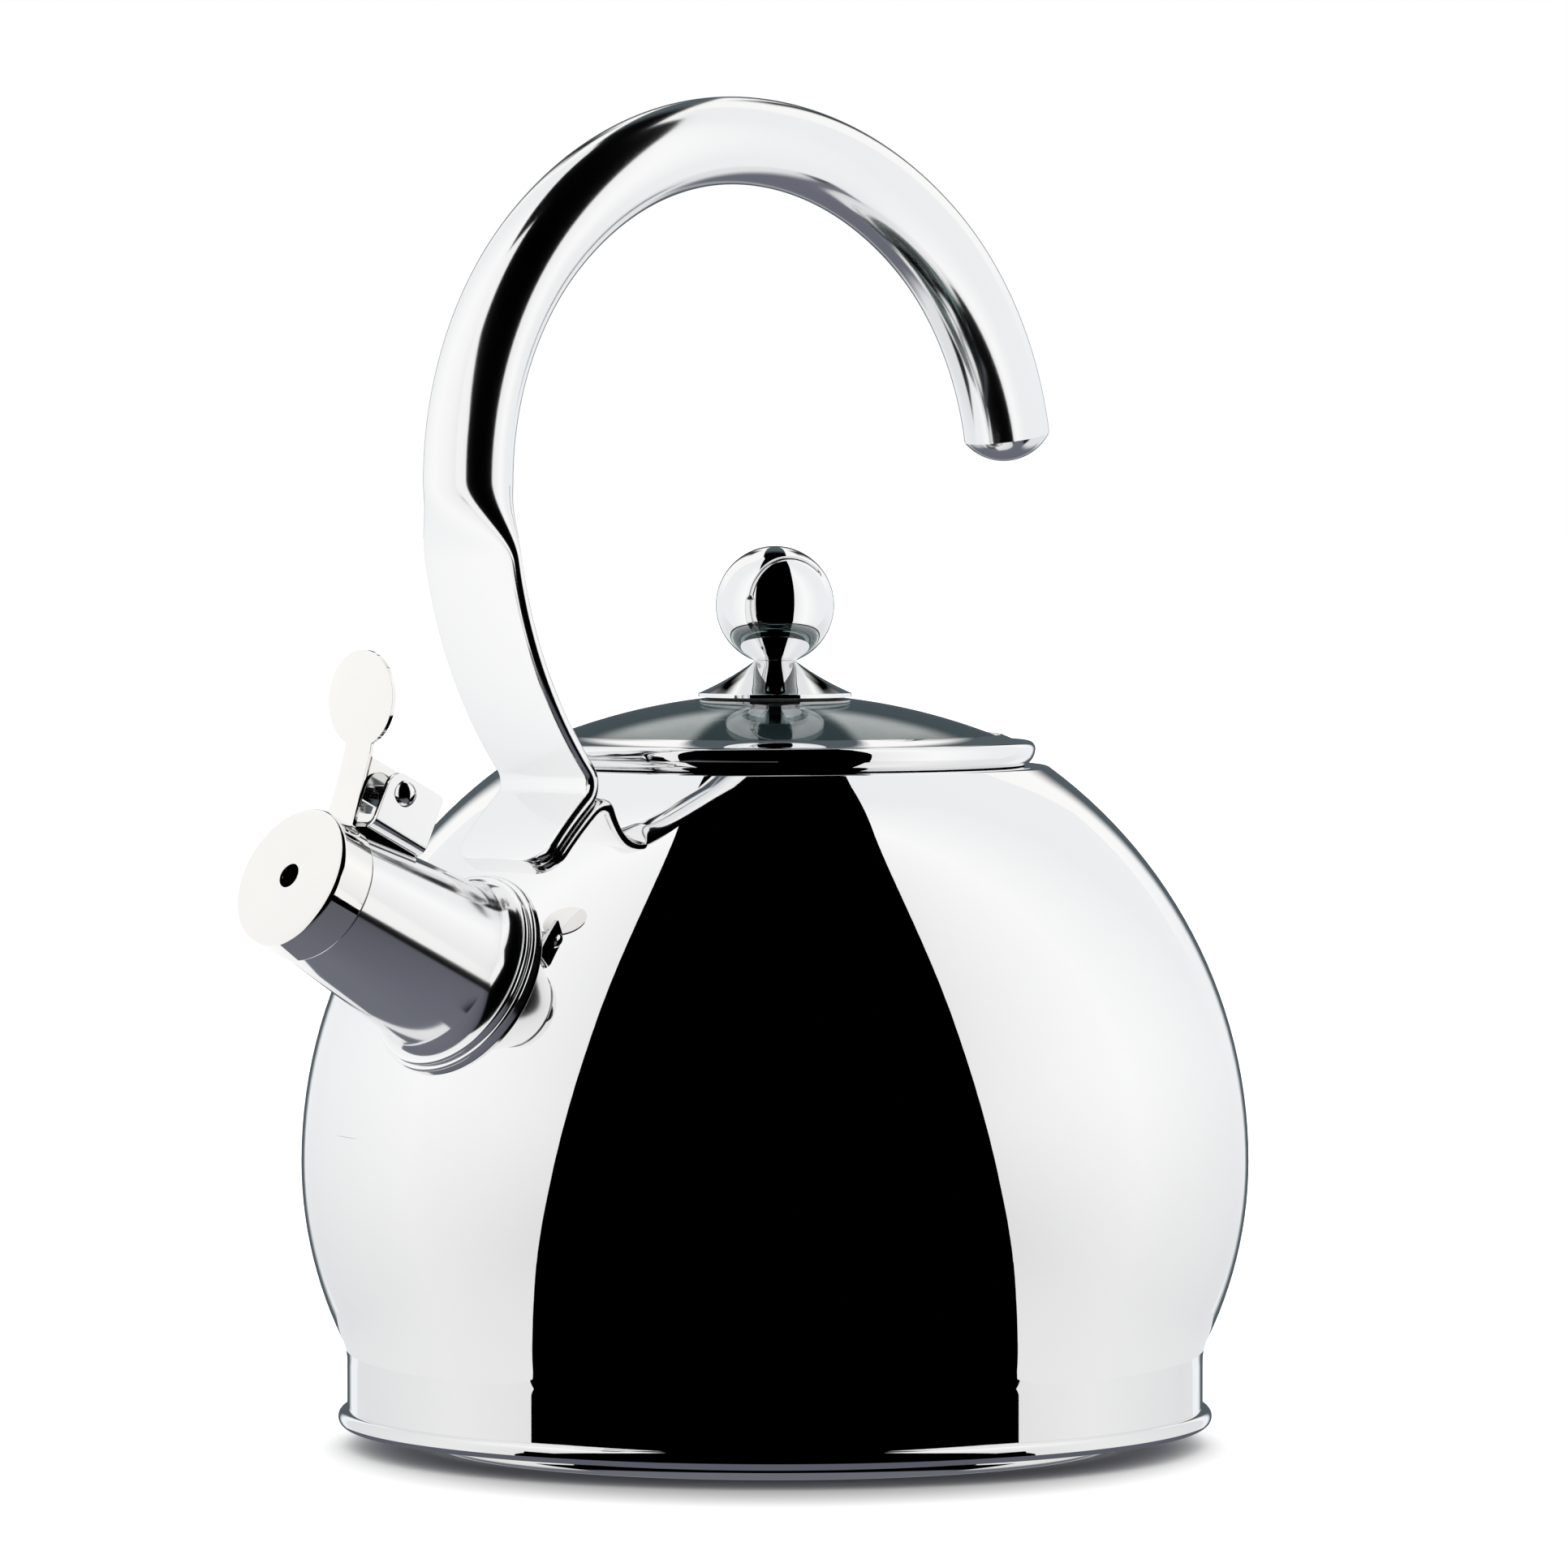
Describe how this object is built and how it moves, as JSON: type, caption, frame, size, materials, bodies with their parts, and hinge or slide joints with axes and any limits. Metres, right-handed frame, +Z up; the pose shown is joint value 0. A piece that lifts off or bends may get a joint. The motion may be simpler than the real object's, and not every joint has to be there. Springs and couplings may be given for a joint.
{
  "type": "stovetop whistling kettle",
  "caption": "Polished steel stovetop kettle with a bulging body, short spout, flip-up whistle cap with thumb lever, glass lid with ball knob and an open hook handle.",
  "frame": {"origin": "on the body's axis, where the base stands on its surface", "axes": "+Z up along the body's axis, -X towards the spout, so that the handle, spout and hinge lie in the XZ plane"},
  "size_m": [0.2407, 0.2, 0.2839],
  "materials": {
    "polished_steel": "mirror polished stainless steel",
    "satin_steel": "fine satin stainless steel",
    "spring_steel": "drawn spring wire",
    "core_aluminium": "as cast, enclosed",
    "tinted_glass": "clear grey-green tempered glass",
    "silicone": "matt translucent grey silicone"
  },
  "bodies": {
    "kettle": {"body_shell": "polished_steel", "base_pan": "polished_steel", "base_core": "core_aluminium", "base_cap": "satin_steel", "spout_tube": "polished_steel", "spout_collar": "polished_steel", "hinge_bracket": "polished_steel", "hinge_pin": "polished_steel", "hinge_spring": "spring_steel", "handle_tube": "polished_steel", "handle_tip": "polished_steel"},
    "whistle": {"whistle_cap": "satin_steel", "whistle_plate": "satin_steel", "thumb_lever": "satin_steel"},
    "lid": {"lid_glass": "tinted_glass", "lid_rim": "polished_steel", "lid_gasket": "silicone", "knob_ball": "polished_steel", "knob_skirt": "polished_steel", "knob_gasket": "silicone", "knob_washer": "silicone", "knob_screw": "satin_steel"}
  },
  "joints": [
    {"name": "whistle_flip", "type": "hinge", "parent": "kettle", "child": "whistle", "pos_m": [-0.11041, 0, 0.14025], "axis": [0, 1, 0], "range_deg": [0, 70], "stiffness_Nm_per_rad": 0.02, "springref_deg": -34.38, "deforming": ["hinge_spring"]},
    {"name": "lid_lift", "type": "slide", "parent": "kettle", "child": "lid", "axis": [0, 0, 1], "range_m": [0, 0.06]}
  ]
}
